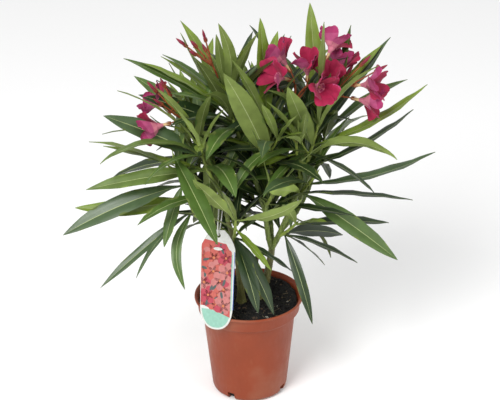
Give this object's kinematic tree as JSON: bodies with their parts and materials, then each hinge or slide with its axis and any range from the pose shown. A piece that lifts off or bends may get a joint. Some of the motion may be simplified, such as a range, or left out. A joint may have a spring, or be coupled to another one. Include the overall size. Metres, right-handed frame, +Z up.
{
  "type": "potted oleander",
  "caption": "Young flowering oleander shrub with long pointed leaves and deep pink blossom, in a round plastic nursery pot with a hanging label.",
  "frame": {"origin": "centre of the pot's flat underside", "axes": "+Z up along the pot's axis, +X to the viewer's right, +Y away from the viewer, the label on the -X and -Y side"},
  "size_m": [0.4615, 0.3308, 0.5169],
  "materials": {
    "pot": "satin moulded terracotta-coloured plastic",
    "compost": "rough, crumbly and dark",
    "bark": "smooth green-brown young bark with small pale pores",
    "foliage": "leathery, glossy above and matt below",
    "twig": "smooth green",
    "blossom": "soft matt petals",
    "label": "printed card with a satin face",
    "string": "smooth white"
  },
  "bodies": {
    "root": {"pot": "pot", "soil": "compost", "stem_main": "bark", "stem_left": "bark", "cut_stub": "bark", "bough_right": "bark", "bough_centre": "bark", "bough_back": "bark", "bough_back_right": "bark", "bough_top_left": "bark", "bough_left": "bark", "bough_left_low": "bark", "bough_back_left": "bark", "shoot_right_top": "foliage", "shoot_right_inner": "foliage", "shoot_centre": "foliage", "shoot_top_left": "foliage", "shoot_left_mid": "foliage", "shoot_left_low": "foliage", "shoot_front_low": "foliage", "shoot_right_low": "foliage", "shoot_right_mid": "foliage", "shoot_front_centre": "foliage", "shoot_left_back": "foliage", "shoot_back_top": "foliage", "shoot_back_low": "foliage", "shoot_back_right": "foliage", "shoot_back_left": "foliage", "label": "label", "label_loop": "string"}
  },
  "joints": []
}
